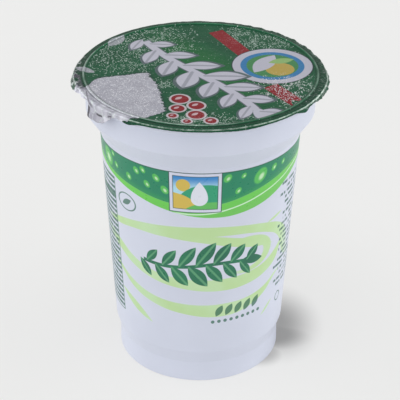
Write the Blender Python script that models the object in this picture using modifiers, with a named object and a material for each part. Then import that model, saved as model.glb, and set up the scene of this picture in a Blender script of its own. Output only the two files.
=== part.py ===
"""A single-serve yogurt cup closed by a heat-sealed foil lid, in metres, +Z up.

The origin is the centre of the foot's standing plane, and the pull tab hangs at the left front.
Angles round the cup are counted from the front (-Y) towards +X.
"""

import math

import bpy

MM = 0.001

# Cup, turned about the Z axis
RIM_TOP_Z = 95.95 * MM
RIM_RADIUS = 36.95 * MM
RIM_UNDER_Z = 94.4 * MM
COLLAR_RADIUS = 35.0 * MM
COLLAR_TOP_Z = 94.0 * MM
COLLAR_FOOT_Z = 86.1 * MM
WALL_TOP_RADIUS = 30.95 * MM
WALL_TOP_Z = 80.0 * MM
WALL_FOOT_RADIUS = 26.95 * MM
WALL_FOOT_Z = 12.0 * MM
HEEL_TOP_RADIUS = 25.55 * MM
HEEL_TOP_Z = 7.2 * MM
HEEL_FOOT_RADIUS = 25.75 * MM
FOOT_INNER_RADIUS = 21.6 * MM
BASE_PANEL_RADIUS = 21.0 * MM
BASE_PANEL_Z = 1.4 * MM
LIP_ROUNDING = 0.25 * MM
CREASE_ROUNDING = 0.9 * MM
FOOT_ROUNDING = 0.5 * MM
STEPS_ROUND = 72

# Foil lid
FOIL_THICKNESS = 0.3 * MM
LID_RADIUS = 37.6 * MM
CENTRE_Z = 96.6 * MM
SEAL_BAND_Z = 96.75 * MM
RING_TOP_Z = 97.0 * MM
RING_RADIUS = 35.4 * MM
RING_HALF_WIDTH = 0.45 * MM
SEAL_INNER_RADIUS = 34.0 * MM
SKIRT_DROP = 0.75 * MM
SKIRT_ROWS = 3
FOLD_START_RADIUS = 36.6 * MM

# Places where the turned-down edge stands out: angle, half width (degrees), reach outwards
BULGES = (
    (-86.0, 30.0, 1.7 * MM),
    (-56.0, 18.0, 0.7 * MM),
    (84.0, 36.0, 1.35 * MM),
    (53.0, 7.0, 0.5 * MM),
    (135.0, 40.0, 1.2 * MM),
    (180.0, 60.0, 0.4 * MM),
)
# Places where it hangs lower: angle, half width (degrees), extra drop
HANGS = (
    (-86.0, 26.0, 1.6 * MM),
    (-52.0, 15.0, 4.4 * MM),
    (-36.0, 9.0, 0.8 * MM),
    (53.0, 6.0, 0.8 * MM),
    (72.0, 14.0, 0.9 * MM),
    (95.0, 14.0, 0.6 * MM),
)


def material(name, colour, roughness, metallic):
    made = bpy.data.materials.new(name)
    made.use_nodes = True
    shader = made.node_tree.nodes["Principled BSDF"]
    shader.inputs["Base Color"].default_value = (*colour, 1.0)
    shader.inputs["Roughness"].default_value = roughness
    shader.inputs["Metallic"].default_value = metallic
    return made


def rounded(corners, arc_steps=2):
    """The outline through corners (radius, height, rounding), with each rounded corner as an arc."""
    outline = []
    for index, (radius, height, rounding) in enumerate(corners):
        if rounding == 0.0:
            outline.append((radius, height))
            continue
        before = corners[index - 1]
        after = corners[index + 1]
        to_before = (before[0] - radius, before[1] - height)
        to_after = (after[0] - radius, after[1] - height)
        length_before = math.hypot(*to_before)
        length_after = math.hypot(*to_after)
        unit_before = (to_before[0] / length_before, to_before[1] / length_before)
        unit_after = (to_after[0] / length_after, to_after[1] / length_after)
        cosine = unit_before[0] * unit_after[0] + unit_before[1] * unit_after[1]
        half = math.acos(max(-1.0, min(1.0, cosine))) / 2
        bisector = (unit_before[0] + unit_after[0], unit_before[1] + unit_after[1])
        bisector_length = math.hypot(*bisector)
        reach = rounding / math.sin(half)
        centre = (radius + bisector[0] / bisector_length * reach,
                  height + bisector[1] / bisector_length * reach)
        tangent = rounding / math.tan(half)
        start = (radius + unit_before[0] * tangent, height + unit_before[1] * tangent)
        end = (radius + unit_after[0] * tangent, height + unit_after[1] * tangent)
        first = math.atan2(start[1] - centre[1], start[0] - centre[0])
        last = math.atan2(end[1] - centre[1], end[0] - centre[0])
        sweep = (last - first + math.pi) % (2 * math.pi) - math.pi
        for step in range(arc_steps + 1):
            angle = first + sweep * step / arc_steps
            outline.append((centre[0] + rounding * math.cos(angle),
                            centre[1] + rounding * math.sin(angle)))
    return outline


def turned(name, outline, collection):
    """An object whose outline, given top to bottom on its outer side, is turned about the Z axis."""
    mesh = bpy.data.meshes.new(name)
    vertices = [(radius, 0.0, height) for radius, height in outline]
    edges = [(index, index + 1) for index in range(len(vertices) - 1)]
    mesh.from_pydata(vertices, edges, [])
    piece = bpy.data.objects.new(name, mesh)
    collection.objects.link(piece)
    screw = piece.modifiers.new("Turn", "SCREW")
    screw.axis = "Z"
    screw.steps = STEPS_ROUND
    screw.render_steps = STEPS_ROUND
    screw.use_merge_vertices = True
    screw.merge_threshold = 0.00001
    screw.use_smooth_shade = True
    return piece


def swell(angle, places):
    """The sum of smooth swellings (angle, half width, height) at an angle in degrees."""
    total = 0.0
    for centre, half_width, height in places:
        away = abs((angle - centre + 180.0) % 360.0 - 180.0)
        if away < half_width:
            total += height * 0.5 * (1.0 + math.cos(math.pi * away / half_width))
    return total


def ripple(angle, height):
    """Small creases of the turned-down foil, at an angle in degrees."""
    turn = math.radians(angle)
    return height * (math.sin(11.0 * turn + 0.6) + 0.6 * math.sin(19.0 * turn + 2.1)) / 1.6


def make_cup(collection):
    outline = rounded([
        (0.0, RIM_TOP_Z, 0.0),
        (RIM_RADIUS, RIM_TOP_Z, LIP_ROUNDING),
        (RIM_RADIUS, RIM_UNDER_Z, LIP_ROUNDING),
        (COLLAR_RADIUS, COLLAR_TOP_Z, LIP_ROUNDING),
        (COLLAR_RADIUS, COLLAR_FOOT_Z, CREASE_ROUNDING),
        (WALL_TOP_RADIUS, WALL_TOP_Z, CREASE_ROUNDING),
        (WALL_FOOT_RADIUS, WALL_FOOT_Z, CREASE_ROUNDING),
        (HEEL_TOP_RADIUS, HEEL_TOP_Z, CREASE_ROUNDING),
        (HEEL_FOOT_RADIUS, 0.0, FOOT_ROUNDING),
        (FOOT_INNER_RADIUS, 0.0, 0.0),
        (BASE_PANEL_RADIUS, BASE_PANEL_Z, 0.0),
        (0.0, BASE_PANEL_Z, 0.0),
    ])
    cup = turned("cup", outline, collection)
    cup.data.materials.append(material("cup white", (0.72, 0.75, 0.83), 0.38, 0.0))
    return cup


def lid_outline():
    """The foil's upper side: a flat middle, the embossed ring, the seal band and a skirt."""
    outline = [
        (0.0, CENTRE_Z),
        (SEAL_INNER_RADIUS * 0.6, CENTRE_Z),
        (SEAL_INNER_RADIUS, CENTRE_Z),
    ]
    for step in range(5):
        share = step / 2.0 - 1.0
        height = SEAL_BAND_Z + (RING_TOP_Z - SEAL_BAND_Z) * math.cos(math.pi / 2 * share)
        outline.append((RING_RADIUS + RING_HALF_WIDTH * share, height))
    outline.append((FOLD_START_RADIUS, SEAL_BAND_Z))
    outline.append((LID_RADIUS - 0.2 * MM, SEAL_BAND_Z))
    for row in range(SKIRT_ROWS + 1):
        outline.append((LID_RADIUS, SEAL_BAND_Z - 0.15 * MM - SKIRT_DROP * row / SKIRT_ROWS))
    return outline


def shape_edge(mesh):
    """Moves the foil's edge out and down where it is crumpled and where the pull tab hangs."""
    skirt_top = SEAL_BAND_Z - 0.15 * MM
    for vertex in mesh.vertices:
        radius = math.hypot(vertex.co.x, vertex.co.y)
        if radius <= FOLD_START_RADIUS + 0.01 * MM:
            continue
        angle = math.degrees(math.atan2(vertex.co.x, -vertex.co.y))
        outwards = (radius - FOLD_START_RADIUS) / (LID_RADIUS - FOLD_START_RADIUS)
        down = max(0.0, (skirt_top - vertex.co.z) / SKIRT_DROP)
        moved = radius + outwards * swell(angle, BULGES)
        moved += (0.5 + 0.5 * down) * outwards * abs(ripple(angle, 0.25 * MM))
        vertex.co.x *= moved / radius
        vertex.co.y *= moved / radius
        vertex.co.z -= down * (swell(angle, HANGS) + abs(ripple(angle + 7.0, 0.15 * MM)))


def make_foil_lid(collection):
    guide = turned("lid guide", lid_outline(), collection)
    evaluated = guide.evaluated_get(bpy.context.evaluated_depsgraph_get())
    mesh = bpy.data.meshes.new_from_object(evaluated)
    bpy.data.objects.remove(guide)
    mesh.name = "foil_lid"
    shape_edge(mesh)
    mesh.shade_smooth()
    lid = bpy.data.objects.new("foil_lid", mesh)
    collection.objects.link(lid)
    lid.data.materials.append(material("foil green", (0.03, 0.16, 0.07), 0.35, 0.8))
    thicken = lid.modifiers.new("Foil", "SOLIDIFY")
    thicken.thickness = FOIL_THICKNESS
    thicken.offset = -1.0
    thicken.use_even_offset = True
    return lid


def main():
    for old in list(bpy.data.objects):
        bpy.data.objects.remove(old)
    collection = bpy.data.collections.new("yogurt cup")
    bpy.context.scene.collection.children.link(collection)
    make_cup(collection)
    make_foil_lid(collection)


main()
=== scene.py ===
"""The looks of a single-serve yogurt cup with a sealed foil lid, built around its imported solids.

Lengths in the settings are metres, and the print is laid out in millimetres: round the wall
from the middle of the front (-Y) towards +X, and up from the foot.
"""

import math

import bmesh
import bpy
from bpy.props import FloatProperty, FloatVectorProperty, IntProperty, PointerProperty
from mathutils import Matrix, Vector, noise


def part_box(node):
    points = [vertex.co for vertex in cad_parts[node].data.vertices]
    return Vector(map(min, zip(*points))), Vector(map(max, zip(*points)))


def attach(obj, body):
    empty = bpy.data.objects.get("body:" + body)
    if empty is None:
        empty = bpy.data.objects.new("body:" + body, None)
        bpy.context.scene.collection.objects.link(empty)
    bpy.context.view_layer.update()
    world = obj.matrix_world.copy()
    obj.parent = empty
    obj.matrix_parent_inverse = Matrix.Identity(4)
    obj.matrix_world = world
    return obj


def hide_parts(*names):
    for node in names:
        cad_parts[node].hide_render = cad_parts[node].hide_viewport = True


bl_info = {
    "name": "Yogurt cup",
    "version": (1, 0, 0),
    "blender": (4, 5, 0),
    "location": "View3D > Sidebar > Yogurt cup",
    "description": "A printed white cup, its foil lid and a pale studio",
    "category": "Object",
}

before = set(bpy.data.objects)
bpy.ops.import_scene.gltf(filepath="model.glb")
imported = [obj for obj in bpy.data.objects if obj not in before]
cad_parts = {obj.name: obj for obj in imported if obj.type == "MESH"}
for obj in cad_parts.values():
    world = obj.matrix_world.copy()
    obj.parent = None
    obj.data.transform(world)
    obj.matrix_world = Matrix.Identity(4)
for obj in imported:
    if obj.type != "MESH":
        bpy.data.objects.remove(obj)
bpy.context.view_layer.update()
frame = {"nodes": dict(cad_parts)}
CUP_LOW, CUP_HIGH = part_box("cup")
_, LID_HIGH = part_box("foil_lid")

MM = 0.001
WALL_RADIUS_MM = 30.0
DEGREE_MM = math.radians(1.0) * WALL_RADIUS_MM
EDGE_PLACE = "edge_place"


def ink(red, green, blue):
    """A screen colour, 0 to 255, as the linear colour that Blender's sockets hold."""
    linear = []
    for part in (red, green, blue):
        share = part / 255.0
        if share <= 0.04045:
            linear.append(share / 12.92)
        else:
            linear.append(((share + 0.055) / 1.055) ** 2.4)
    return tuple(linear)


def size_property(name, description, millimetres):
    return FloatProperty(name=name, description=description, default=millimetres * MM,
                         subtype="DISTANCE", unit="LENGTH", precision=5)


def angle_property(name, description, degrees):
    return FloatProperty(name=name, description=description, default=math.radians(degrees),
                         subtype="ANGLE")


def colour_property(name, description, colour):
    return FloatVectorProperty(name=name, description=description, default=colour,
                               subtype="COLOR", min=0.0, max=1.0)


class CupShape(bpy.types.PropertyGroup):
    rim_under: size_property("Rim underside", "Height of the rim's lower edge", 94.4)
    collar_radius: size_property("Collar radius", "Outer radius of the collar", 35.0)
    collar_top: size_property("Collar top", "Height where the collar meets the rim", 94.0)
    collar_foot: size_property("Collar foot", "Height of the collar's lower crease", 86.1)
    wall_top_radius: size_property("Wall top radius", "Radius under the shoulder", 30.95)
    wall_top: size_property("Wall top", "Height of the crease under the shoulder", 80.0)
    wall_foot_radius: size_property("Wall foot radius", "Radius above the step", 26.95)
    wall_foot: size_property("Wall foot", "Height of the crease above the step", 12.0)
    heel_top_radius: size_property("Heel top radius", "Radius under the step", 25.55)
    heel_top: size_property("Heel top", "Height of the crease under the step", 7.2)
    heel_foot_radius: size_property("Heel foot radius", "Radius above the foot", 25.75)
    foot_inner: size_property("Foot inner radius", "Inner radius of the standing ring", 21.6)
    panel_radius: size_property("Base panel radius", "Radius of the raised base panel", 21.0)
    panel_height: size_property("Base panel height", "Height of the raised base panel", 1.4)
    steps: IntProperty(name="Steps round", description="Faces round the cup", default=192)


class LidShape(bpy.types.PropertyGroup):
    radius: size_property("Lid radius", "Radius where the foil turns down", 37.6)
    centre_height: size_property("Middle height", "Height of the foil's middle", 96.6)
    band_height: size_property("Seal band height", "Height of the seal band", 96.7)
    ring_radius: size_property("Ring radius", "Radius of the embossed ring", 35.4)
    ring_half_width: size_property("Ring half width", "Half the ring's width", 0.4)
    fold_start: size_property("Fold start", "Radius where the loose edge starts", 36.2)
    fold_rounding: size_property("Fold rounding", "Rounding where the foil turns down", 0.5)
    skirt_drop: size_property("Skirt drop", "How far the edge hangs under its fold", 0.5)
    foil: size_property("Foil", "Thickness of the foil as shown", 0.12)
    steps: IntProperty(name="Steps round", description="Faces round the lid", default=480)


class PrintInks(bpy.types.PropertyGroup):
    plastic: colour_property("Plastic", "The cup's white plastic", ink(214, 219, 235))
    band: colour_property("Band", "The dark green band", ink(28, 134, 98))
    bright: colour_property("Bright strip", "The bright green strip", ink(108, 206, 84))
    swirl: colour_property("Swirl", "The pale green swirls", ink(190, 223, 158))
    deep: colour_property("Deep green", "The sprig and small marks", ink(30, 106, 80))
    lid: colour_property("Lid green", "The lid's green lacquer", ink(24, 92, 60))
    silver: colour_property("Bare foil", "Foil with no lacquer", ink(200, 201, 212))
    pale: colour_property("Pale lid ink", "The sprig on the lid", ink(200, 200, 214))
    red: colour_property("Red", "The ribbons and the berries", ink(154, 36, 44))
    blue: colour_property("Blue", "Sky blue", ink(52, 136, 206))
    gold: colour_property("Gold", "The yellow marks", ink(214, 186, 84))


class StudioLight(bpy.types.PropertyGroup):
    key: FloatProperty(name="Key", description="Strength of the key light", default=0.6)
    key_height: angle_property("Key height", "Angle of the key light above the floor", 70.0)
    key_turn: angle_property("Key turn", "Angle of the key light from the left to the front", 75.0)
    key_spread: angle_property("Key spread", "Apparent size of the key light", 34.0)
    front: FloatProperty(name="Front", description="Brightness of the room before and behind", default=0.52)
    left: FloatProperty(name="Left", description="Brightness of the room's left side", default=1.7)
    right: FloatProperty(name="Right", description="Brightness of the room's right side", default=1.85)
    floor: colour_property("Floor", "The pale floor", ink(239, 239, 238))
    glow: FloatProperty(name="Glow", default=0.65,
                        description="Share of the floor's light that comes from below, as on a light table")
    shade: colour_property("Shade", "The soft shade on the floor beside the foot", ink(158, 158, 158))


def rounded(corners, arc_steps=8):
    """The outline through corners (radius, height, rounding), with each rounded corner as an arc."""
    outline = []
    for index, (radius, height, rounding) in enumerate(corners):
        corner = Vector((radius, height))
        if rounding == 0.0:
            outline.append(corner)
            continue
        to_before = (Vector(corners[index - 1][:2]) - corner).normalized()
        to_after = (Vector(corners[index + 1][:2]) - corner).normalized()
        half = to_before.angle(to_after) / 2.0
        centre = corner + (to_before + to_after).normalized() * (rounding / math.sin(half))
        start = corner + to_before * (rounding / math.tan(half)) - centre
        end = corner + to_after * (rounding / math.tan(half)) - centre
        sweep = start.angle_signed(end)
        for step in range(arc_steps + 1):
            turn = Matrix.Rotation(-sweep * step / arc_steps, 2)
            outline.append(centre + turn @ start)
    return outline


def divided(outline, longest):
    """The same outline with no stretch longer than the given length."""
    fine = [outline[0]]
    for before, after in zip(outline, outline[1:]):
        parts = max(1, math.ceil((after - before).length / longest))
        for part in range(1, parts + 1):
            fine.append(before.lerp(after, part / parts))
    return fine


def turned(outline, steps):
    """A bmesh of the outline turned once about the Z axis, closed at its poles."""
    work = bmesh.new()
    row = [work.verts.new((point.x, 0.0, point.y)) for point in outline]
    edges = [work.edges.new(pair) for pair in zip(row, row[1:])]
    bmesh.ops.spin(work, geom=row + edges, cent=(0, 0, 0), axis=(0, 0, 1),
                   angle=2 * math.pi, steps=steps, use_merge=True)
    bmesh.ops.remove_doubles(work, verts=work.verts, dist=0.000002)
    bmesh.ops.recalc_face_normals(work, faces=work.faces)
    return work


def finished(name, work, material, node):
    """Turns a bmesh into a smooth piece that stands for a node and takes its slot's finish."""
    mesh = bpy.data.meshes.new(name)
    work.to_mesh(mesh)
    work.free()
    mesh.shade_smooth()
    mesh.materials.append(material)
    piece = bpy.data.objects.new(name, mesh)
    bpy.context.scene.collection.objects.link(piece)
    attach(piece, "root")
    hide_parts(node)
    return piece


# The height, in millimetres, that a whole curve node spans, and the width of a print's soft edge
CURVE_SPAN = 100.0
SOFT = 0.08


class Value:
    """A number, place or colour on a sheet. Arithmetic with it adds math nodes."""

    def __init__(self, sheet, socket):
        self.sheet = sheet
        self.socket = socket

    def __add__(self, other):
        return self.sheet.math("ADD", self, other)

    def __sub__(self, other):
        return self.sheet.math("SUBTRACT", self, other)

    def __rsub__(self, other):
        return self.sheet.math("SUBTRACT", other, self)

    def __mul__(self, other):
        return self.sheet.math("MULTIPLY", self, other)

    def __truediv__(self, other):
        return self.sheet.math("DIVIDE", self, other)

    def __neg__(self):
        return self * -1.0

    def __abs__(self):
        return self.sheet.math("ABSOLUTE", self)

    def ramp(self, low, high, at_low=0.0, at_high=1.0):
        """A smooth step from at_low to at_high as this goes from low to high."""
        limits = {"Value": self, "From Min": low, "From Max": high, "To Min": at_low, "To Max": at_high}
        return self.sheet.add("ShaderNodeMapRange", limits, interpolation_type="SMOOTHSTEP")["Result"]

    def fall(self, full, gone):
        """A mask that falls from 1 at full to 0 at gone."""
        return self.ramp(full, gone, 1.0, 0.0)

    def window(self, start, full, fade, end):
        """A mask that rises from start to full and falls from fade to end."""
        return self.ramp(start, full) * self.fall(fade, end)

    def near(self, place, full, gone):
        """A mask round a place, whole as far as full from it and gone beyond gone."""
        return abs(self - place).fall(full, gone)

    def above(self, limit, edge=SOFT):
        return (self - limit).ramp(-edge, edge)

    def below(self, limit, edge=SOFT):
        return (limit - self).ramp(-edge, edge)

    def without(self, hole):
        return self * (1.0 - hole)

    def blend(self, first, second):
        """The mix of two colours, with this as the second one's share."""
        return self.sheet.mix(self, first, second)

    def paint(self, mask, colour):
        """This colour with another one over it where the mask is."""
        return self.sheet.mix(mask, self, colour)

    def curve(self, low, high, points, lift=0.0):
        """A smooth curve through points (place, height), for this from low to high."""
        node = self.sheet.add("ShaderNodeFloatCurve", {"Value": (self - low) / (high - low)})
        mapping = node.made.mapping
        line = mapping.curves[0]
        while len(line.points) < len(points):
            line.points.new(0.5, 0.5)
        for point, (place, height) in zip(line.points, points):
            point.location = ((place - low) / (high - low), (height + lift) / CURVE_SPAN)
        mapping.update()
        return node[0] * CURVE_SPAN - lift


class Node:
    """A node on a sheet, whose outputs are taken by name or number."""

    def __init__(self, sheet, made):
        self.sheet = sheet
        self.made = made

    def __getitem__(self, output):
        return Value(self.sheet, self.made.outputs[output])


class Sheet:
    """Adds nodes to one tree, in columns."""

    COLUMN = 190
    ROW = 150
    ROWS = 12

    def __init__(self, tree):
        self.tree = tree
        self.count = 0

    def add(self, kind, inputs=None, **settings):
        made = self.tree.nodes.new(kind)
        made.location = (self.COLUMN * (self.count // self.ROWS), -self.ROW * (self.count % self.ROWS))
        self.count += 1
        for name, value in settings.items():
            setattr(made, name, value)
        self.feed(made, inputs or {})
        return Node(self, made)

    def feed(self, made, inputs):
        """Links or sets a node's inputs, given by name or number."""
        for name, value in inputs.items():
            socket = made.inputs[name]
            if isinstance(value, Value):
                self.tree.links.new(value.socket, socket)
            elif socket.type == "RGBA" and len(value) == 3:
                socket.default_value = (*value, 1.0)
            else:
                socket.default_value = value

    def group(self, tree, **inputs):
        named = {name.replace("_", " ").capitalize(): value for name, value in inputs.items()}
        return self.add("ShaderNodeGroup", named, node_tree=tree)

    def math(self, operation, first, second=0.0):
        return self.add("ShaderNodeMath", {0: first, 1: second}, operation=operation)[0]

    def vector(self, operation, first, second):
        return self.add("ShaderNodeVectorMath", {0: first, 1: second}, operation=operation)[0]

    def mix(self, share, first, second):
        return self.add("ShaderNodeMix", {0: share, 6: first, 7: second}, data_type="RGBA")[2]

    def noise(self, place, scale, detail=2.0, roughness=0.5):
        inputs = {"Vector": place, "Scale": scale, "Detail": detail, "Roughness": roughness}
        return self.add("ShaderNodeTexNoise", inputs)["Fac"]

    def bump(self, height, strength, distance, **under):
        """The normal of a surface with small relief, over the one given as Normal."""
        inputs = {"Height": height, "Strength": strength, "Distance": distance, **under}
        return self.add("ShaderNodeBump", inputs)[0]


def most(first, *others):
    """The union of masks, or the highest of values."""
    for other in others:
        first = first.sheet.math("MAXIMUM", first, other)
    return first


def hypotenuse(first, second):
    return first.sheet.math("SQRT", first * first + second * second)


def open_group(name, inputs):
    """A new node group's sheet and its inputs, each a number's default or None for a place."""
    sheet = Sheet(bpy.data.node_groups.new(name, "ShaderNodeTree"))
    for socket, default in inputs.items():
        kind = "NodeSocketVector" if default is None else "NodeSocketFloat"
        made = sheet.tree.interface.new_socket(name=socket, in_out="INPUT", socket_type=kind)
        if default is not None:
            made.default_value = default
    return sheet, sheet.add("NodeGroupInput")


def close_group(sheet, **outputs):
    """Gives a node group its outputs, and returns its tree."""
    for name in outputs:
        sheet.tree.interface.new_socket(name=name, in_out="OUTPUT", socket_type="NodeSocketFloat")
    sheet.add("NodeGroupOutput", outputs)
    return sheet.tree


SHAPE_INPUTS = {"Across": 0.0, "Up": 0.0, "Centre across": 0.0, "Centre up": 0.0, "Length": 1.0,
                "Width": 1.0, "Turn": 0.0, "Edge": SOFT}


def placed(source):
    """A point's place along and across a shape that is turned about its own centre."""
    across = source["Across"] - source["Centre across"]
    up = source["Up"] - source["Centre up"]
    cosine = source.sheet.math("COSINE", source["Turn"])
    sine = source.sheet.math("SINE", source["Turn"])
    return across * cosine + up * sine, up * cosine - across * sine


def oval_group():
    """An ellipse: its mask, and how far a point is from the centre as a share of the way out."""
    sheet, source = open_group("Oval", SHAPE_INPUTS)
    along, aside = placed(source)
    half_width = source["Width"] * 0.5
    reach = hypotenuse(along / (source["Length"] * 0.5), aside / half_width)
    edge = source["Edge"]
    mask = ((1.0 - reach) * half_width).ramp(-edge, edge)
    return close_group(sheet, Mask=mask, Reach=reach)


def leaf_group():
    """A pointed leaf: its mask and its middle vein."""
    sheet, source = open_group("Leaf", SHAPE_INPUTS)
    along, aside = placed(source)
    width = source["Width"]
    share = along / (source["Length"] * 0.5)
    outline = width * 0.5 * (1.0 - share * share)
    aside = abs(aside)
    edge = source["Edge"]
    mask = (outline - aside).ramp(-edge, edge)
    return close_group(sheet, Mask=mask, Vein=aside.fall(width * 0.05, width * 0.12) * mask)


def bar_group():
    """A bar with round corners."""
    sheet, source = open_group("Bar", {**SHAPE_INPUTS, "Rounding": 0.2})
    rounding = source["Rounding"]
    over = []
    for place, size in zip(placed(source), (source["Length"], source["Width"])):
        over.append(abs(place) - (size * 0.5 - rounding))
    corner = hypotenuse(most(over[0], 0.0), most(over[1], 0.0))
    inner = sheet.math("MINIMUM", most(*over), 0.0)
    edge = source["Edge"]
    return close_group(sheet, Mask=(rounding - corner - inner).ramp(-edge, edge))


def fine_print_group():
    """Rows of broken fine lines that stand in for small print, and can't be read."""
    sheet, source = open_group("Fine print", {
        "Across": 0.0, "Up": 0.0, "Left": 0.0, "Right": 1.0, "Bottom": 0.0, "Top": 1.0,
        "Pitch": 1.2, "Ragged": 1.0, "Gaps": 0.45, "Weight": 0.3})
    across, up, bottom = source["Across"], source["Up"], source["Bottom"]
    place = (up - bottom) / source["Pitch"]
    row = sheet.math("FLOOR", place)
    line = abs(sheet.math("FRACT", place) - 0.5).below(source["Weight"], 0.07)
    chance = sheet.add("ShaderNodeTexWhiteNoise", {"W": row}, noise_dimensions="1D")["Value"]
    left = source["Left"] + chance * source["Ragged"]
    span = across.above(left, 0.1) * across.below(source["Right"], 0.1)
    height = up.above(bottom, 0.1) * up.below(source["Top"], 0.1)
    spot = sheet.add("ShaderNodeCombineXYZ", {"X": across, "Y": row * 7.3})[0]
    words = sheet.noise(spot, 0.7, 1.0).above(source["Gaps"], 0.03)
    marks = sheet.noise(spot, 1.7, 1.0).ramp(0.32, 0.46, 0.3, 1.0)
    return close_group(sheet, Mask=line * span * height * words * marks)


def wandered(sheet, place, scale, detail, reach):
    """A place shifted by a noise, so that cells on it are uneven."""
    drift = sheet.add("ShaderNodeTexNoise", {"Vector": place, "Scale": scale, "Detail": detail})["Color"]
    return sheet.vector("ADD", place, sheet.vector("MULTIPLY", drift, (reach, reach, reach)))


def glints_and_grain_group():
    """Painted glints and painted shade of the rolled foil's facets, as bright and dark specks, and the
    grain's height.
    """
    sheet, source = open_group("Glints and grain", {"Place": None, "Scale": 1.0, "Amount": 0.3})
    place = wandered(sheet, source["Place"], 1.7, 1.0, 0.7)
    cells = sheet.add("ShaderNodeTexVoronoi", {"Vector": place, "Scale": source["Scale"]})
    chance = sheet.add("ShaderNodeSeparateColor", {0: cells["Color"]})
    speck = cells["Distance"].fall(0.28, 0.52)
    limit = 1.0 - source["Amount"]
    bright = chance[0].above(limit, 0.06) * speck
    dark = chance[1].above(limit, 0.06) * speck
    return close_group(sheet, Bright=bright, Dark=dark.without(bright), Height=chance[2])


def crumple_group():
    """Crushed foil: a random tone for each facet and the creases between them, the masks for painted shade
    on facets and painted highlights on creases.
    """
    sheet, source = open_group("Crumple", {"Place": None, "Scale": 0.4})
    inputs = {"Vector": wandered(sheet, source["Place"], 0.5, 2.0, 2.4), "Scale": source["Scale"]}
    cells = sheet.add("ShaderNodeTexVoronoi", inputs)
    tone = sheet.add("ShaderNodeSeparateColor", {0: cells["Color"]})[0]
    away = sheet.add("ShaderNodeTexVoronoi", inputs, feature="DISTANCE_TO_EDGE")["Distance"]
    broken = sheet.noise(source["Place"], 0.8, 1.0).ramp(0.4, 0.6)
    return close_group(sheet, Facet=tone, Crease=away.fall(0.02, 0.1) * broken)


def make_groups():
    """The node groups by name, each built once and shared by the materials."""
    makers = {"Oval": oval_group, "Leaf": leaf_group, "Bar": bar_group, "Fine print": fine_print_group,
              "Glints and grain": glints_and_grain_group, "Crumple": crumple_group}
    return {name: bpy.data.node_groups.get(name) or make() for name, make in makers.items()}


class PrintKit:
    """The node groups for drawing on one sheet, at places given in millimetres."""

    def __init__(self, sheet, groups, across, up):
        self.sheet = sheet
        self.groups = groups
        self.across = across
        self.up = up

    def shape(self, kind, centre, length, width, turn=0.0, **more):
        return self.sheet.group(self.groups[kind], across=self.across, up=self.up,
                                centre_across=centre[0], centre_up=centre[1], length=length,
                                width=width, turn=math.radians(turn), **more)

    def oval(self, *place, **more):
        return self.shape("Oval", *place, **more)["Mask"]

    def reach(self, *place):
        """How far out from an oval's centre a point is, with 1 on its outline."""
        return self.shape("Oval", *place)["Reach"]

    def leaf(self, *place):
        return self.shape("Leaf", *place)["Mask"]

    def bar(self, *place, rounding=0.2):
        return self.shape("Bar", *place, rounding=rounding)["Mask"]

    def hollow(self, kind, centre, outer, inner):
        """A shape of the outer size with the inner size cut out."""
        return self.shape(kind, centre, *outer)["Mask"].without(self.shape(kind, centre, *inner)["Mask"])

    def fine_print(self, left, right, **more):
        """Rows of fine print between two angles round the wall."""
        return self.sheet.group(self.groups["Fine print"], across=self.across, up=self.up, top=68.0,
                                left=left * DEGREE_MM, right=right * DEGREE_MM, **more)["Mask"]


def point_place(sheet):
    """The point's place on the piece, in millimetres, as a place and as three numbers."""
    place = sheet.vector("MULTIPLY", sheet.add("ShaderNodeTexCoord")["Object"], (1000.0, 1000.0, 1000.0))
    parts = sheet.add("ShaderNodeSeparateXYZ", {0: place})
    return place, parts[0], parts[1], parts[2]


def round_about(east, north):
    """The angle from the front, in degrees, at a place on the piece."""
    return east.sheet.math("DEGREES", east.sheet.math("ARCTAN2", east, -north))


# Curves on the wall: degrees from the front, and millimetres up from the print's own zero
PRINT_LIFT = 0.5
BAND_TOP = 78.15
BAND_FOOT = ((-90, 73.2), (-75, 72.6), (-60, 70.8), (-40, 69.0), (-17, 67.0), (0, 66.4), (13, 67.2),
             (30, 69.2), (50, 71.5), (66, 72.9), (90, 73.2))
STRIP_FOOT = ((-90, 71.6), (-75, 71.0), (-60, 69.3), (-40, 66.8), (-20, 64.4), (0, 62.7), (10, 62.4),
              (20, 62.6), (40, 64.5), (50, 66.2), (60, 68.2), (72, 70.4), (90, 71.6))
WHITE_LINE = ((-90, 71.9), (-30, 64.9), (-12, 63.8), (5, 63.9), (20, 65.3), (40, 67.9), (55, 70.0),
              (68, 71.7), (90, 72.3))
UPPER_TOP = ((-90, 48), (-70, 53), (-57, 55), (-45, 56.5), (-30, 57.9), (0, 59), (30, 57.7), (45, 55.8),
             (56, 53.4), (63, 50.5), (68, 46), (72, 40), (90, 34))
UPPER_FOOT = ((-90, 52), (-70, 52.4), (-57, 52.7), (-40, 54.2), (-20, 54.5), (0, 55.3), (20, 55.3),
              (35, 54.1), (45, 52.3), (53, 49.9), (59, 46), (64, 40), (90, 38))
BRANCH_TOP = ((-90, 50), (-30, 54), (-10, 55.8), (5, 55.7), (20, 54.3), (38, 51.2), (48, 48), (90, 40))
BRANCH_FOOT = ((-90, 54), (-30, 54.6), (-15, 54.3), (0, 53.5), (15, 51.8), (30, 49.6), (44, 48), (90, 44))
MIDDLE_TOP = ((-90, 50), (-70, 48.6), (-57, 46.6), (-45, 43.4), (-30, 40.9), (-10, 39.7), (15, 39.5),
              (30, 40), (45, 41.6), (54, 44.2), (62, 47.2), (90, 48))
MIDDLE_FOOT = ((-90, 51), (-70, 46), (-57, 43.2), (-45, 40.2), (-30, 37.7), (-10, 36), (15, 35.1),
               (30, 35.6), (45, 37.4), (55, 40.3), (62, 46.6), (90, 52))
LOWER_TOP = ((-90, 44), (-70, 40.5), (-57, 36.8), (-45, 33.8), (-30, 31.4), (-10, 30.2), (20, 30.1),
             (35, 30.8), (47, 32.5), (57, 35), (90, 36))
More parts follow.
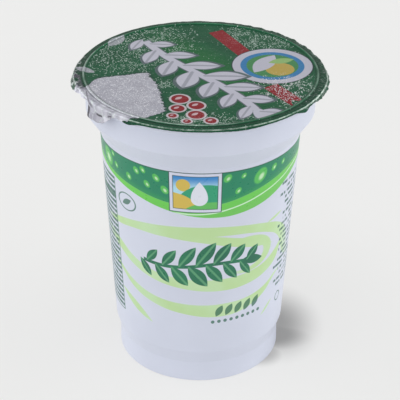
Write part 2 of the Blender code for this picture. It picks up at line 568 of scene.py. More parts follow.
LOWER_FOOT = ((-90, 46), (-70, 40), (-57, 35.3), (-45, 31.2), (-30, 28.4), (-10, 26.4), (15, 25.2),
              (30, 26.2), (45, 29.3), (57, 34.2), (90, 40))
SWIRL_BANDS = ((UPPER_FOOT, UPPER_TOP), (BRANCH_FOOT, BRANCH_TOP), (MIDDLE_FOOT, MIDDLE_TOP),
               (LOWER_FOOT, LOWER_TOP))
# The drops on the band: degrees from the front, height and size
BUBBLES = ((-64, 74.6, 3.1), (-58, 76.8, 1.0), (-55, 73.6, 1.1), (-44, 72.2, 1.3), (-38, 75.4, 1.3),
           (-33.5, 76.4, 1.2), (-31, 71.9, 1.3), (-25, 74.9, 1.4), (-20, 71.3, 1.5), (15.5, 75.9, 1.5),
           (22, 71, 1.2), (25, 75.9, 1.0), (36, 74.3, 2.8), (46, 75.4, 1.3), (54, 75.6, 1.0))
# The framed picture's middle and size, and the block of bars at the left
PICTURE = (-2.5 * DEGREE_MM, 71.2)
PICTURE_SIZE = (30.0 * DEGREE_MM, 13.9)
BLOCK = (-73.2 * DEGREE_MM, 43.7)
BLOCK_SIZE = (29.6 * DEGREE_MM, 49.4)


class Tone:
    """Tones of the print and the foil that follow from the inks and have no setting, with the painted
    glints, highlights and shade on the foil.
    """

    swirl_light = ink(196, 228, 176)
    strip_light = ink(114, 200, 92)
    strip_line = ink(206, 240, 206)
    band_foot = ink(44, 150, 92)
    band_top = ink(34, 104, 78)
    bubble = ink(92, 196, 92)
    bubble_light = ink(206, 240, 198)
    sky = ink(176, 222, 240)
    far_hill = ink(44, 160, 118)
    near_hill = ink(98, 188, 96)
    milk = ink(226, 230, 242)
    frame_line = ink(38, 78, 72)
    frame = ink(214, 218, 236)
    leaf_light = ink(36, 122, 86)
    leaf_vein = ink(120, 190, 140)
    fine_print = ink(34, 98, 86)

    lacquer_light = ink(30, 120, 58)
    # Painted glints and painted shade of the grain on the lacquer
    lacquer_glint = ink(190, 212, 200)
    lacquer_facet_shade = ink(14, 52, 36)
    lacquer_edge = ink(24, 74, 52)
    # Painted shadow beside the bare patch's torn edge
    torn_edge_shadow = ink(30, 52, 60)
    # Painted glints of the grain over the print
    print_glint = ink(226, 226, 230)
    # Painted shade beside the ring, and its crest: ink thinned on the emboss with a painted highlight
    groove_shade = ink(20, 50, 40)
    crest = ink(206, 220, 214)
    foil_cloud = ink(186, 186, 198)
    # Painted glints and painted shade of the bare foil's grain
    foil_glint = ink(246, 246, 252)
    foil_facet_shade = ink(150, 150, 166)
    rim_foil = ink(184, 184, 196)
    rim_foil_light = ink(230, 230, 240)
    sprig_line = ink(96, 112, 116)
    sprig_vein = ink(134, 138, 150)
    berry_rim = ink(214, 206, 212)
    berry_light = ink(224, 196, 202)
    mark_line = ink(58, 70, 74)
    mark_foil = ink(196, 196, 210)
    mark_blue = ink(54, 128, 182)
    mark_green = ink(70, 140, 84)
    mark_gold = ink(192, 168, 84)
    mark_leaf = ink(150, 190, 120)

    # Painted shade on crumpled facets, painted highlights on creases and the turned-down edge, and painted
    # shade in the tab's creases and slits
    facet_shade_green = ink(18, 52, 40)
    facet_shade_foil = ink(116, 112, 126)
    crumple_shade = ink(104, 98, 112)
    crease = ink(214, 222, 222)
    fold = ink(200, 216, 206)
    tab_crease_shade = ink(92, 88, 98)
    tab_fold_shade = ink(70, 68, 76)


def wall_curve(angle, points):
    return angle.curve(-90.0, 90.0, points)


def wall_band(angle, up, foot, top, edge=SOFT):
    """The mask between two curves round the wall."""
    return up.above(wall_curve(angle, foot), edge) * up.below(wall_curve(angle, top), edge)


def swirls(kit, angle):
    """The pale swirls round the sprig."""
    bands = [wall_band(angle, kit.up, foot, top, 0.1) for foot, top in SWIRL_BANDS]
    curl_out = kit.oval((29 * DEGREE_MM, 46.9), 40 * DEGREE_MM, 13.2, edge=0.15)
    curl_in = kit.oval((25.5 * DEGREE_MM, 46.6), 34 * DEGREE_MM, 10.0, edge=0.15)
    curl = curl_out.without(curl_in) * angle.ramp(14.0, 30.0)
    low_leaf = kit.leaf((-45 * DEGREE_MM, 24.6), 31 * DEGREE_MM, 2.6, -30.0)
    tail = kit.leaf((50 * DEGREE_MM, 22.8), 13 * DEGREE_MM, 1.0, 38.0)
    high_tail = kit.leaf((51 * DEGREE_MM, 56.6), 14 * DEGREE_MM, 0.9, 12.0)
    return most(*bands, curl, low_leaf, tail, high_tail)


def bubbles(kit):
    """The drops on the band: the mask of their bodies and that of their lights."""
    bodies = []
    lights = []
    for degrees, height, size in BUBBLES:
        lean = 55.0 if degrees > 0 else 125.0
        east = degrees * DEGREE_MM
        bodies.append(kit.reach((east, height), size * 2.1, size * 1.5, lean).fall(0.8, 1.1))
        middle = (east + 0.1 * size, height - 0.12 * size)
        lights.append(kit.reach(middle, size * 1.25, size * 0.8, lean).fall(0.35, 1.0))
    return most(*bodies), most(*lights)


def sprig(kit, along, aside, ends, pitch, leaf, stem, edge=SOFT):
    """A swaying stem with pairs of leaves: the mask of the whole, and the leaves' veins."""
    lean = 52.0
    start, end = ends
    length, width = leaf
    middle = (start + end) / 2.0
    share = (along - middle) / ((end - start) / 2.0)
    aside = aside - kit.sheet.math("SINE", share * 2.6) * (pitch * 0.16)
    rows = PrintKit(kit.sheet, kit.groups, along, aside)
    leaves = []
    last = math.floor((end - middle) / pitch)
    for place in range(math.ceil((start - middle) / pitch), last + 1):
        shrink = 1.0 - 0.35 * abs(place / max(1, last))
        out = 0.46 * length * shrink
        for side in (1.0, -1.0):
            centre = (middle + (place + 0.22 * side) * pitch + out * math.cos(math.radians(lean)),
                      side * (out * math.sin(math.radians(lean)) + stem * 0.2))
            leaves.append(rows.shape("Leaf", centre, length * shrink, width * shrink, side * lean,
                                     edge=edge))
    stalk = abs(aside).below(stem / 2.0, edge) * abs(share).below(1.0, 0.01)
    tip = rows.shape("Leaf", (end + length * 0.3, 0.0), length * 0.8, width * 0.75, edge=edge)
    whole = most(stalk, tip["Mask"], *[made["Mask"] for made in leaves])
    return whole, most(*[made["Vein"] for made in leaves])


def wall_picture(kit, inks, colour):
    """The framed picture on the band: hills under a low sun, and a drop of milk."""
    east, height = PICTURE

    def spot(across, up):
        return east + across, height + up

    picture = kit.up.ramp(height + 1.0, height + 5.5).blend(Tone.sky, inks.blue)
    picture = picture.paint(kit.oval(spot(-3.6, 2.6), 4.2, 4.2), inks.gold)
    for across, up, wide, tall, turn, tone in ((3.4, -3.6, 17.0, 13.0, 0.0, Tone.far_hill),
                                               (-6.6, -6.2, 16.0, 12.0, -10.0, inks.gold),
                                               (4.8, -9.2, 19.0, 12.0, 0.0, Tone.near_hill)):
        picture = picture.paint(kit.oval(spot(across, up), wide, tall, turn, edge=0.1), tone)
    drop_size = 5.0
    drop = spot(1.2, -1.9)
    point = kit.leaf(drop, 11.6, drop_size, 90.0) * kit.up.above(drop[1])
    picture = picture.paint(most(kit.oval(drop, drop_size, drop_size), point), Tone.milk)
    for inset, fill in ((0.0, Tone.frame_line), (0.5, Tone.frame), (2.3, Tone.frame_line), (2.7, picture)):
        panel = kit.bar(PICTURE, PICTURE_SIZE[0] - inset, PICTURE_SIZE[1] - inset, rounding=0.1)
        colour = colour.paint(panel, fill)
    return colour


def small_marks(kit):
    """The dark-green small marks, and the fine print."""
    ring = (-47.5 * DEGREE_MM, 62.3)
    marks = [kit.hollow("Oval", ring, (8.17, 6.2), (7.125, 5.4)), kit.leaf(ring, 4.6, 1.9, 30.0)]
    for place in range(5):
        marks.append(kit.leaf(((13.0 + place * 6.4) * DEGREE_MM, 27.4 + place * 0.12), 4.6, 2.3, 62.0))
    for place in range(9):
        marks.append(kit.oval(((9.0 + place * 4.1) * DEGREE_MM, 23.3 + place * 0.08), 1.25, 1.25))
    marks.append(kit.hollow("Bar", BLOCK, BLOCK_SIZE, [size - 0.8 for size in BLOCK_SIZE]))
    marks.append(kit.bar((BLOCK[0], 61.6), BLOCK_SIZE[0], 2.2, rounding=0.3))
    marks.append(kit.hollow("Oval", (63.5 * DEGREE_MM, 23.6), (3.6, 3.6), (2.8, 2.8)))
    left = kit.fine_print(-86.6, -59.2, bottom=19.8, pitch=1.75, ragged=1.0, gaps=0.32, weight=0.3)
    right = kit.fine_print(54.0, 84.0, bottom=28.0, pitch=1.9, ragged=4.2, gaps=0.46, weight=0.24)
    return most(*marks), most(left, right)


def make_material(name):
    """A new material, its sheet and its shader."""
    material = bpy.data.materials.new(name)
    material.use_nodes = True
    shader = material.node_tree.nodes["Principled BSDF"]
    shader.location = (2600, 300)
    material.node_tree.nodes["Material Output"].location = (2900, 300)
    return material, Sheet(material.node_tree), shader


def cup_material(groups, inks):
    """White plastic printed in greens, alike on the front and the back."""
    material, sheet, shader = make_material("Printed cup plastic")
    place, east, north, up = point_place(sheet)
    up = up - PRINT_LIFT
    angle = sheet.math("FLOORED_MODULO", round_about(east, north) + 90.0, 180.0) - 90.0
    kit = PrintKit(sheet, groups, angle * DEGREE_MM, up)
    darker = [part * 0.96 for part in inks.plastic]
    colour = sheet.noise(place, 0.05).ramp(0.3, 0.7).blend(inks.plastic, darker)

    pale = sheet.noise(place, 0.09).ramp(0.35, 0.65).blend(inks.swirl, Tone.swirl_light)
    strength = abs(angle).fall(58.0, 74.0) * 0.75 + 0.2
    colour = colour.paint(swirls(kit, angle) * strength, pale)

    strip = wall_band(angle, up, STRIP_FOOT, BAND_FOOT)
    over_line = up - wall_curve(angle, WHITE_LINE)
    white_line = abs(over_line).below(0.23) * angle.above(-14.0, 3.0)
    bright = over_line.ramp(-2.0, 2.5).blend(Tone.strip_light, inks.bright)
    colour = colour.paint(strip, bright).paint(white_line * strip, Tone.strip_line)

    foot = wall_curve(angle, BAND_FOOT)
    band = up.above(foot) * up.below(BAND_TOP)
    green = (up - foot).ramp(0.0, 2.4).blend(Tone.band_foot, inks.band)
    green = green.paint((BAND_TOP - up).below(0.35, 0.25), Tone.band_top)
    body, light = bubbles(kit)
    green = green.paint(body * 0.9, Tone.bubble).paint(light * 0.85, Tone.bubble_light)
    colour = wall_picture(kit, inks, colour.paint(band, green))

    leaves, veins = sprig(kit, kit.across, up - 44.6, (-36 * DEGREE_MM, 28 * DEGREE_MM),
                          10.6 * DEGREE_MM, (10.2, 4.4), 1.2)
    deep = sheet.noise(place, 0.12).ramp(0.35, 0.65).blend(inks.deep, Tone.leaf_light)
    colour = colour.paint(leaves, deep).paint(veins * 0.5, Tone.leaf_vein)
    marks, fine = small_marks(kit)
    colour = colour.paint(marks * 0.85, inks.deep).paint(fine * 0.95, Tone.fine_print)

    rough = sheet.noise(place, 0.6).ramp(0.3, 0.7, 0.34, 0.44) - most(band, strip, leaves) * 0.07
    relief = sheet.bump(sheet.noise(place, 0.35, 3.0), 0.35, 0.00006)
    sheet.feed(shader, {"Base Color": colour, "Roughness": rough, "Normal": relief, "IOR": 1.49})
    return material


# Places on the lid: millimetres to the right and away from the front
PATCH_TOP = ((-45, -9), (-37.2, -9.4), (-35, -11.6), (-33.6, -10.6), (-32.4, -7.6), (-31.3, -5.7),
             (-27.2, -3.8), (-22.5, -2.7), (-18.3, -1.4), (-14, -0.6), (0, 3))
PATCH_RIGHT = ((-45, -34), (-38, -28), (-33.5, -20), (-30, -15), (-26, -10.3), (-22.4, -10.8),
               (-15.3, -11.9), (-7.4, -13.6), (-4.6, -15.1), (2, -15.9), (10, -16))
SPRIG_START = (-17.6, 23.4)
SPRIG_END = (18.4, -29.6)
MEDALLION = (21.8, 4.6)
MEDALLION_SIZE = 24.4
BERRIES = ((-6.0, -18.4, 5.4), (-1.2, -22.6, 4.8), (-6.6, -24.4, 4.2), (-1.2, -28.4, 5.0),
           (3.0, -32.0, 3.4), (-3.8, -32.4, 2.4), (-8.0, -29.0, 2.6))
# Ovals where the grain's painted glints and painted shade show: place, length, width and turn
GLINT_PLACES = (((-20, 16), 48, 36, 50.0), ((18, 24), 34, 24, -40.0), ((29, -12), 26, 34, 60.0),
                  ((2, -32), 44, 12, 0.0), ((-14, -8), 8, 24, 90.0))
INNER_RADIUS = 34.6
RING_MIDDLE = 35.42
OUTER_RADIUS = 35.75
# Painted shade in the slits of the pull tab: degrees from the front, half width, place on the edge, and
# slope
TAB_SLITS = ((-50.8, 2.2, 1.5, 0.045), (-44.2, 1.3, 1.6, 0.1))


def lid_glints(kit, flat, inner):
    """The rolled grain that shows through the lacquer: its painted glints and painted shade, and its
    height.
    """
    areas = [kit.reach(*place).fall(0.45, 1.1) for place in GLINT_PLACES]
    patches = kit.sheet.noise(flat, 0.22, 4.0, 0.65).ramp(0.38, 0.6)
    amount = most(*areas) * (patches * 0.72 + 0.2)
    amount = (amount + 0.02) * (inner * 0.85 + 0.15)
    drawn_out = kit.sheet.vector("MULTIPLY", flat, (1.0, 0.66, 1.0))
    return kit.sheet.group(kit.groups["Glints and grain"], place=drawn_out, scale=2.5, amount=amount)


def bare_patch(kit, radius, flat, edge):
    """Where the lacquer is missing: the mask, and the dark line of painted shadow beside it."""
    torn = (kit.sheet.noise(flat, 0.9, 4.0, 0.7) - 0.5) * 3.4
    under = kit.across.curve(-45.0, 0.0, PATCH_TOP, 40.0) - kit.up
    beside = kit.up.curve(-45.0, 10.0, PATCH_RIGHT, 50.0)
    beside = beside - kit.across + torn - radius.ramp(34.8, 37.0, 0.0, 3.4)
    ragged = edge + (kit.sheet.noise(flat, 0.7) - 0.5) * 1.6
    beside = beside - ragged.ramp(0.9, 1.9, 0.0, 4.2)
    depth = kit.sheet.math("MINIMUM", under + torn * 0.8, beside)
    patch = depth.ramp(-0.15, 0.2)
    shadow = depth.ramp(-1.0, -0.1).without(patch)
    scrap = kit.leaf((-26.6, 21.6), 9.0, 4.2, 60.0)
    facet = kit.leaf((-35.0, 0.6), 7.0, 3.0, -30.0)
    return most(patch, scrap * 0.7, facet * 0.8), shadow


def silver_colour(kit, inks, flat, outer):
    """Bare foil, speckled with painted glints and painted shade in the middle and smooth round the rim: its
    colour and the mask of its painted glints.
    """
    sheet = kit.sheet
    rolled = sheet.noise(flat, 0.16, 3.0).ramp(0.36, 0.6, 0.3, 0.6)
    specks = sheet.group(kit.groups["Glints and grain"], place=flat, scale=2.6, amount=rolled)
    cloud = sheet.noise(flat, 0.3, 3.0)
    silver = cloud.ramp(0.3, 0.7).blend(inks.silver, Tone.foil_cloud)
    # Painted glints and painted shade of the grain
    silver = silver.paint(specks["Bright"] * 0.95, Tone.foil_glint)
    silver = silver.paint(specks["Dark"] * 0.35, Tone.foil_facet_shade)
    smooth = cloud.ramp(0.35, 0.65).blend(Tone.rim_foil, Tone.rim_foil_light)
    return outer.blend(silver, smooth), specks["Bright"].without(outer)


def medallion(kit, colour):
    """A round mark between the ribbons: a blue ring, a gold sun and two leaves on pale foil."""
    east, north = MEDALLION
    for share, fill in ((1.025, Tone.mark_line), (1.0, Tone.mark_foil), (0.8, Tone.mark_blue),
                        (0.65, Tone.mark_green)):
        colour = colour.paint(kit.oval(MEDALLION, MEDALLION_SIZE * share, MEDALLION_SIZE * share), fill)
    colour = colour.paint(kit.oval((east + 2.2, north - 2.4), 8.8, 8.8), Tone.mark_gold)
    colour = colour.paint(kit.leaf((east - 2.4, north + 1.4), 14.0, 6.0, 62.0), Tone.mark_foil)
    return colour.paint(kit.leaf((east + 2.8, north + 3.4), 8.4, 3.6, 20.0), Tone.mark_leaf)


def lid_print(kit, inks, colour):
    """The ribbons, the medallion, the pale sprig and the berries, and where the print is pale."""
    ribbons = most(kit.bar((9.8, 20.0), 22.0, 5.0, -61.8, rounding=0.1),
                   kit.bar((24.6, -15.0), 14.0, 5.0, -56.0, rounding=0.1))
    notch = kit.leaf((28.6, -21.4), 7.0, 3.4, -56.0)
    colour = medallion(kit, colour.paint(ribbons.without(notch), inks.red))

    axis = Vector(SPRIG_END) - Vector(SPRIG_START)
    length = axis.length
    axis.normalize()
    east = kit.across - SPRIG_START[0]
    north = kit.up - SPRIG_START[1]
    along = east * axis.x + north * axis.y
    aside = north * axis.x - east * axis.y
    wide, _ = sprig(kit, along, aside, (1.0, length - 5.0), 9.4, (14.0, 7.6), 3.6, 0.12)
    narrow, veins = sprig(kit, along, aside, (1.4, length - 5.4), 9.4, (12.6, 6.2), 2.6, 0.12)
    colour = colour.paint(wide, Tone.sprig_line).paint(narrow, inks.pale)
    colour = colour.paint(veins * 0.6, Tone.sprig_vein)

    for east, north, size in BERRIES:
        colour = colour.paint(kit.oval((east, north), size + 1.2, size + 1.0, -50.0), Tone.berry_rim)
        colour = colour.paint(kit.oval((east, north), size, size * 0.92, -50.0), inks.red)
        light = kit.leaf((east - 0.08 * size, north + 0.1 * size), size * 0.5, size * 0.26, 40.0)
        colour = colour.paint(light * 0.9, Tone.berry_light)
    return colour, most(narrow, kit.oval(MEDALLION, MEDALLION_SIZE, MEDALLION_SIZE))


def loose_edge(kit, colour, place, turn, edge, bare):
    """The crumples of the loose edge: painted shade on facets, painted highlights on creases and where the
    foil turns down, and painted shade in the tab's folds.
    """
    sheet = kit.sheet
    left = turn.window(-118.0, -100.0, -40.0, -30.0)
    right = turn.window(40.0, 62.0, 108.0, 130.0)
    crumple = sheet.group(kit.groups["Crumple"], place=place, scale=0.42)
    facets = edge.ramp(0.1, 0.6) * (left + right * 0.6)
    # Painted shade on the crumpled facets
    dark = crumple["Facet"].ramp(0.45, 0.7) * facets * (0.75 - bare * 0.45)
    colour = colour.paint(dark, bare.blend(Tone.facet_shade_green, Tone.facet_shade_foil))
    # Painted shade on crumpled facets at the far left
    crumple_shade = turn.window(-94.0, -88.0, -74.0, -66.0) * edge.window(0.0, 0.2, 0.9, 1.1)
    colour = colour.paint(crumple_shade * crumple["Facet"].ramp(0.0, 0.35) * 0.8, Tone.crumple_shade)
    # Painted highlights along the creases
    crease = crumple["Crease"] * facets * turn.ramp(-20.0, 20.0, 0.85, 0.45)
    colour = colour.paint(crease, Tone.crease)

    # A painted highlight, broken, where the foil turns down
    broken = most(sheet.noise(place, 0.5, 3.0, 0.7).ramp(0.36, 0.6, 0.12, 0.6),
                  right * sheet.noise(place, 0.8).ramp(0.36, 0.5, 0.3, 0.95))
    fold = edge.near(0.98, 0.03, 0.12) * broken * (1.0 - bare * 0.85)
    colour = colour.paint(fold, Tone.fold)
    # A painted shade line along a crease beside the pull tab
    line = edge.near(turn.ramp(-70.0, -57.0, 0.0, 1.1), 0.05, 0.16) * edge.ramp(0.02, 0.12)
    colour = colour.paint(line * turn.window(-73.0, -70.0, -57.0, -54.0) * 0.6, Tone.tab_crease_shade)
    # Painted shade in the tab's folds and slits
    fold_shades = [turn.window(-63.6, -62.6, -58.6, -57.4) * edge.ramp(1.2, 1.35) * 0.9]
    for at, half_width, low, slope in TAB_SLITS:
        past = turn - at
        slit_shade = abs(past).fall(0.4 * half_width, half_width) * (edge - past * slope).near(low, 0.04, 0.11)
        fold_shades.append(slit_shade * 0.85)
    return colour.paint(most(*fold_shades), Tone.tab_fold_shade)


def lid_material(groups, inks):
    """Rolled foil under green lacquer, with a bare patch and pale and red print, and painted glints,
    highlights and shade.
    """
    material, sheet, shader = make_material("Printed lid foil")
    place, east, north, _ = point_place(sheet)
    kit = PrintKit(sheet, groups, east, north)
    flat = sheet.add("ShaderNodeCombineXYZ", {"X": east, "Y": north})[0]
    radius = hypotenuse(east, north)
    turn = round_about(east, north)
    edge = sheet.add("ShaderNodeAttribute", attribute_name=EDGE_PLACE)["Fac"]
    inner = radius.below(INNER_RADIUS, 0.15)
    outer = radius.above(OUTER_RADIUS, 0.2)

    lighter = [part * 1.25 for part in inks.lid]
    green = sheet.noise(flat, 0.09, 3.0).ramp(0.35, 0.65).blend(inks.lid, lighter)
    belt = kit.reach((3.0, 2.0), 66.0, 20.0, -56.0).ramp(0.3, 1.2, 0.75, 0.0)
    specks = lid_glints(kit, flat, inner)
    # Painted glints and painted shade of the grain over the lacquer
    green = green.paint(belt, Tone.lacquer_light).paint(specks["Bright"] * 0.9, Tone.lacquer_glint)
    green = green.paint(specks["Dark"] * 0.6, Tone.lacquer_facet_shade).paint(outer * 0.8, Tone.lacquer_edge)

    printed, pale_print = lid_print(kit, inks, green)
    # Painted glints of the grain over the print, strongest in an oval to the front right
    glint_share = kit.reach((24.0, -11.0), 26.0, 16.0, -60.0).ramp(0.5, 1.2, 0.9, 0.12)
    colour = inner.blend(green, printed).paint(specks["Bright"] * glint_share, Tone.print_glint)

    bare, shadow = bare_patch(kit, radius, flat, edge)
    silver, silver_glints = silver_colour(kit, inks, flat, outer)
    # A painted shadow beside the torn edge, then the bare foil
    colour = colour.paint(shadow * 0.6, Tone.torn_edge_shadow).paint(bare, silver)

    from_ring = abs(radius - RING_MIDDLE)
    # Painted shade in the grooves on both sides of the ring
    colour = colour.paint(from_ring.near(0.62, 0.1, 0.35) * 0.4, Tone.groove_shade)
    # The ring's pale crest: ink thinned on the emboss, with a painted highlight that is strongest from the
    # left round to the front
    at_right = turn.window(45.0, 65.0, 105.0, 125.0)
    at_left = turn.window(-125.0, -105.0, 0.0, 35.0)
    glint_share = most(at_right * 0.3, at_left * 0.6, 0.2) * sheet.noise(flat, 0.3, 3.0).ramp(0.36, 0.6, 0.4, 1.0)
    colour = colour.paint(from_ring.below(0.2, 0.14) * glint_share, Tone.crest)
    colour = loose_edge(kit, colour, place, turn, edge, bare)

    rough_specks = most(silver_glints * bare, specks["Bright"].without(bare))
    dull = most(rough_specks * 0.4, pale_print.without(bare) * 0.25)
    rough = sheet.noise(flat, 1.3).ramp(0.3, 0.7, 0.34, 0.48) - outer * 0.08 + outer * bare * 0.24
    grain = sheet.bump(specks["Height"] * 0.6 + sheet.noise(flat, 2.6, 3.0), 0.5, 0.00004)
    waves = sheet.noise(place, 0.3, 3.0) + outer * 1.4 * sheet.noise(place, 0.9, 3.0)
    sheet.feed(shader, {"Base Color": colour, "Metallic": 0.75 - dull, "Roughness": rough,
                        "Normal": sheet.bump(waves, 0.6, 0.00025, Normal=grain)})
    return material


class CUP_OT_body(bpy.types.Operator):
    """Make the printed cup in place of its plain solid"""

    bl_idname = "cup.body"
    bl_label = "Cup body"
    bl_options = {"REGISTER", "UNDO"}

    def execute(self, context):
        shape = context.scene.cup_shape
        rim_radius = CUP_HIGH.x
        rim_top = CUP_HIGH.z
        lip, crease, foot = 0.25 * MM, 1.1 * MM, 0.5 * MM
        ledge, ledge_rounding = 0.2 * MM, 0.1 * MM
        outline = rounded([
            (0.0, rim_top, 0.0),
            (rim_radius, rim_top, lip),
            (rim_radius, shape.rim_under, lip),
            (shape.collar_radius, shape.collar_top, lip),
            (shape.collar_radius, shape.collar_foot + ledge, ledge_rounding),
            (shape.collar_radius - ledge, shape.collar_foot, ledge_rounding),
            (shape.wall_top_radius, shape.wall_top, crease),
            (shape.wall_foot_radius, shape.wall_foot, crease),
            (shape.heel_top_radius, shape.heel_top, crease),
            (shape.heel_foot_radius, CUP_LOW.z, foot),
            (shape.foot_inner, CUP_LOW.z, 0.0),
            (shape.panel_radius, shape.panel_height, 0.0),
            (0.0, shape.panel_height, 0.0),
        ])
        work = turned(divided(outline, 4.0 * MM), shape.steps)
        material = cup_material(make_groups(), context.scene.print_inks)
        finished("printed_cup", work, material, "cup")
        return {"FINISHED"}


# Places where the turned-down edge stands out: angle, half width (degrees), reach outwards
BULGES = (
    (-86.0, 30.0, 1.7 * MM),
    (-56.0, 18.0, 0.7 * MM),
    (84.0, 36.0, 1.35 * MM),
    (53.0, 7.0, 0.5 * MM),
    (135.0, 40.0, 1.2 * MM),
    (180.0, 60.0, 0.4 * MM),
)
# Places where it hangs lower: angle, half width (degrees), extra drop
HANGS = (
    (-86.0, 26.0, 1.6 * MM),
    (-34.0, 8.0, 0.9 * MM),
    (20.0, 14.0, 0.3 * MM),
    (53.0, 6.0, 0.8 * MM),
    (72.0, 14.0, 0.9 * MM),
    (95.0, 14.0, 0.6 * MM),
)
# Folds pressed into it beside and under the pull tab: angle, half width (degrees), depth
DENTS = (
    (-62.5, 3.0, 1.5 * MM),
    (-50.0, 1.6, 0.7 * MM),
    (-44.0, 1.4, 0.6 * MM),
    (-70.0, 3.0, 0.8 * MM),
)
# The pull tab: how far it hangs, and the angles where its two sides start and end
TAB_DROP = 4.3 * MM
TAB_LEFT = (-64.5, -60.5)
TAB_RIGHT = (-51.0, -39.0)
# The height of the waves in the lid's middle, and the reach of a bulge whose foil is fully loose
MIDDLE_WAVE = 0.12 * MM
LOOSE_REACH = 1.1 * MM


def swell(angle, places):
    """The sum of smooth swellings (angle, half width, height) at an angle in degrees."""
    total = 0.0
    for centre, half_width, height in places:
        away = abs((angle - centre + 180.0) % 360.0 - 180.0)
        if away < half_width:
            total += height * 0.5 * (1.0 + math.cos(math.pi * away / half_width))
    return total


def smooth_step(value, start, end):
    share = min(1.0, max(0.0, (value - start) / (end - start)))
    return share * share * (3.0 - 2.0 * share)


def tab_drop(angle):
    """How far the pull tab hangs at an angle in degrees."""
    return TAB_DROP * smooth_step(angle, *TAB_LEFT) * (1.0 - smooth_step(angle, *TAB_RIGHT))


def creases(place, scale):
    """Sharp-edged crumples, from 0 up, at a place in millimetres."""
    return abs(noise.noise(place * scale)) + 0.5 * abs(noise.noise(place * scale * 2.3))


class CUP_OT_lid(bpy.types.Operator):
    """Make the foil lid with its ring, its crumpled edge and its pull tab"""

    bl_idname = "cup.lid"
    bl_label = "Foil lid"
    bl_options = {"REGISTER", "UNDO"}

    RING_STEPS = 12
    SKIRT_ROWS = 14

    def execute(self, context):
        shape = context.scene.lid_shape
        work = turned(self.outline(shape), shape.steps)
        edge_place = work.verts.layers.float.new(EDGE_PLACE)
        for vertex in work.verts:
            self.crumple(vertex, shape, edge_place)
        bmesh.ops.recalc_face_normals(work, faces=work.faces)
        if sum(face.normal.z for face in work.faces) < 0.0:
            bmesh.ops.reverse_faces(work, faces=work.faces)
        material = lid_material(make_groups(), context.scene.print_inks)
        lid = finished("printed_foil_lid", work, material, "foil_lid")
        thicken = lid.modifiers.new("Foil", "SOLIDIFY")
        thicken.thickness = shape.foil
        thicken.offset = -1.0
        return {"FINISHED"}

    def outline(self, shape):
        """The foil's upper side, from the middle to the lower edge of the skirt."""
        outline = divided([Vector((0.0, shape.centre_height)),
                           Vector((shape.ring_radius - 1.4 * MM, shape.centre_height))], 1.2 * MM)
        for step in range(self.RING_STEPS + 1):
            share = 2.0 * step / self.RING_STEPS - 1.0
            rise = (LID_HIGH.z - shape.band_height) * math.cos(math.pi / 2.0 * share)
            outline.append(Vector((shape.ring_radius + shape.ring_half_width * share,
                                   shape.band_height + rise)))
        skirt_foot = shape.band_height - shape.fold_rounding - shape.skirt_drop
        edge = rounded([(outline[-1].x, shape.band_height, 0.0),
                        (shape.radius, shape.band_height, shape.fold_rounding),
                        (shape.radius, skirt_foot, 0.0)])
        outline += divided(edge[:-1], 0.2 * MM)[1:]
        return outline + divided(edge[-2:], shape.skirt_drop / self.SKIRT_ROWS)[1:]

    def crumple(self, vertex, shape, edge_place):
        """Waves the middle, creases the loose edge and lets the pull tab hang."""
        radius = math.hypot(vertex.co.x, vertex.co.y)
        place = vertex.co / MM
        if radius < shape.ring_radius - shape.ring_half_width:
            near_ring = min(1.0, (shape.ring_radius - radius) / (4.0 * MM))
            vertex.co.z += MIDDLE_WAVE * noise.noise(place * 0.11) * near_ring
            return
        if radius <= shape.fold_start:
            return
        angle = math.degrees(math.atan2(vertex.co.x, -vertex.co.y))
        outwards = min(1.0, (radius - shape.fold_start) / (shape.radius - shape.fold_start))
        skirt_top = shape.band_height - shape.fold_rounding
        hang = max(0.0, (skirt_top - vertex.co.z) / shape.skirt_drop)
        vertex[edge_place] = outwards + hang
        bulge = swell(angle, BULGES)
        loose = min(1.0, bulge / LOOSE_REACH)
        drop = swell(angle, HANGS) + tab_drop(angle)
        surface = Vector((math.radians(angle) * shape.radius / MM, hang * drop / MM, outwards * 2.5))
        rough = (creases(surface, 0.3) - 0.35) * (0.12 + 0.8 * loose) * (0.3 + 0.7 * hang) * MM
        dent = swell(angle, DENTS) * min(1.0, 2.0 * hang)
        moved = radius + outwards * (bulge * (0.55 + 0.45 * hang) + rough - dent)
        vertex.co.x *= moved / radius
        vertex.co.y *= moved / radius
        ragged = abs(noise.noise(Vector((angle * 0.35, 3.0, 0.0)))) * (0.15 + 0.6 * loose) * MM
        vertex.co.z -= hang * (drop + ragged)
        sag = (creases(surface + Vector((40.0, 0.0, 0.0)), 0.26) - 0.1) * loose * 0.9 * MM
        vertex.co.z -= max(0.0, outwards * (1.0 - hang) * sag)


# The soft shade on the floor beside the foot: place and size in millimetres, its full core and strength
SHADES = (
    ((25.0, 0.5), (32.0, 27.0), 0.25, 1.0),
    ((26.0, 7.0), (34.0, 50.0), 0.1, 0.95),
    ((20.0, -9.0), (20.0, 20.0), 0.4, 0.65),
)
FLOOR_HALF = 3.0
GLOW_SHARE = 0.985
# The camera: how it stands to the cup, and its lens for a picture of 400 pixels
CAMERA_TARGET = (0.08 * MM, 0.0, 51.7 * MM)
CAMERA_DISTANCE = 0.5
CAMERA_HEIGHT = math.radians(30.334)
CAMERA_ROLL = math.radians(0.47)
SENSOR_MM = 36.0
LENS_MM = 1580.5 / 400.0 * SENSOR_MM


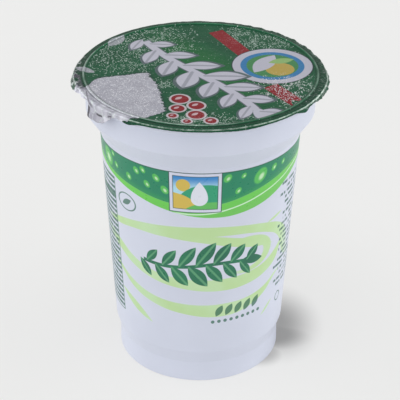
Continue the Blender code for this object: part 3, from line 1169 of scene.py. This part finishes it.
class CUP_OT_studio(bpy.types.Operator):
    """Make the floor, the lights and the camera"""

    bl_idname = "cup.studio"
    bl_label = "Studio"
    bl_options = {"REGISTER", "UNDO"}

    def execute(self, context):
        settings = context.scene.studio_light
        self.make_floor(context, settings)
        self.make_lights(context, settings)
        self.make_camera(context)
        return {"FINISHED"}

    def make_floor(self, context, settings):
        work = bmesh.new()
        bmesh.ops.create_grid(work, x_segments=8, y_segments=8, size=FLOOR_HALF)
        mesh = bpy.data.meshes.new("floor")
        work.to_mesh(mesh)
        work.free()
        material, sheet, shader = make_material("Pale floor")
        place, east, north, _ = point_place(sheet)
        darker = [part * 0.985 for part in settings.floor]
        tone = sheet.noise(place, 0.02).blend(settings.floor, darker)
        kit = PrintKit(sheet, make_groups(), east, north)
        shades = []
        for at, size, core, strength in SHADES:
            shades.append(kit.reach(at, *size).ramp(core, 1.02, strength, 0.0))
        tone = tone.paint(most(*shades), settings.shade)
        sheet.feed(shader, {"Base Color": tone.paint(settings.glow, (0.0, 0.0, 0.0)),
                            "Emission Color": tone, "Emission Strength": settings.glow * GLOW_SHARE,
                            "Roughness": 0.9, "Specular IOR Level": 0.1})
        mesh.materials.append(material)
        floor = bpy.data.objects.new("floor", mesh)
        context.scene.collection.objects.link(floor)

    def make_lights(self, context, settings):
        world = bpy.data.worlds.new("Studio")
        context.scene.world = world
        world.use_nodes = True
        sheet = Sheet(world.node_tree)
        across = sheet.add("ShaderNodeSeparateXYZ", {0: sheet.add("ShaderNodeTexCoord")["Generated"]})[0]
        to_right = across.ramp(0.35, 1.0, settings.front, settings.right)
        to_left = (-across).ramp(0.35, 1.0, settings.front, settings.left)
        sheet.feed(world.node_tree.nodes["Background"],
                   {"Strength": most(to_right, to_left), "Color": (1.0, 1.0, 1.0)})
        lamp = bpy.data.lights.new("key", "SUN")
        lamp.energy = settings.key
        lamp.angle = settings.key_spread
        key = bpy.data.objects.new("key", lamp)
        level = math.cos(settings.key_height)
        towards_key = Vector((-level * math.cos(settings.key_turn), -level * math.sin(settings.key_turn),
                              math.sin(settings.key_height)))
        key.rotation_euler = towards_key.to_track_quat("Z", "Y").to_euler()
        context.scene.collection.objects.link(key)

    def make_camera(self, context):
        back = Vector((0.0, -math.cos(CAMERA_HEIGHT), math.sin(CAMERA_HEIGHT)))
        level = Vector((1.0, 0.0, 0.0))
        upright = back.cross(level)
        side = math.cos(CAMERA_ROLL) * level + math.sin(CAMERA_ROLL) * upright
        top = -math.sin(CAMERA_ROLL) * level + math.cos(CAMERA_ROLL) * upright
        lens = bpy.data.cameras.new("camera")
        lens.sensor_width = SENSOR_MM
        lens.lens = LENS_MM
        lens.clip_start = 0.01
        camera = bpy.data.objects.new("camera", lens)
        matrix = Matrix((side, top, back)).transposed().to_4x4()
        matrix.translation = Vector(CAMERA_TARGET) + back * CAMERA_DISTANCE
        camera.matrix_world = matrix
        context.scene.collection.objects.link(camera)
        context.scene.camera = camera
        context.scene.view_settings.view_transform = "Standard"


class CUP_PT_panel(bpy.types.Panel):
    """The cup's settings and steps"""

    bl_idname = "CUP_PT_panel"
    bl_label = "Yogurt cup"
    bl_space_type = "VIEW_3D"
    bl_region_type = "UI"
    bl_category = "Yogurt cup"

    def draw(self, context):
        for name, operator in (("cup_shape", "cup.body"), ("lid_shape", "cup.lid"),
                               ("print_inks", None), ("studio_light", "cup.studio")):
            settings = getattr(context.scene, name)
            box = self.layout.box()
            for item in settings.bl_rna.properties:
                if item.identifier not in ("rna_type", "name"):
                    box.prop(settings, item.identifier)
            if operator:
                box.operator(operator)


CLASSES = (CupShape, LidShape, PrintInks, StudioLight, CUP_OT_body, CUP_OT_lid, CUP_OT_studio,
           CUP_PT_panel)
SETTINGS = (("cup_shape", CupShape), ("lid_shape", LidShape), ("print_inks", PrintInks),
            ("studio_light", StudioLight))


def register():
    for item in CLASSES:
        bpy.utils.register_class(item)
    for name, kind in SETTINGS:
        setattr(bpy.types.Scene, name, PointerProperty(type=kind))


def unregister():
    for name, _ in SETTINGS:
        delattr(bpy.types.Scene, name)
    for item in reversed(CLASSES):
        bpy.utils.unregister_class(item)


def main():
    register()
    bpy.ops.cup.studio()
    bpy.ops.cup.body()
    bpy.ops.cup.lid()


if __name__ == "__main__":
    main()
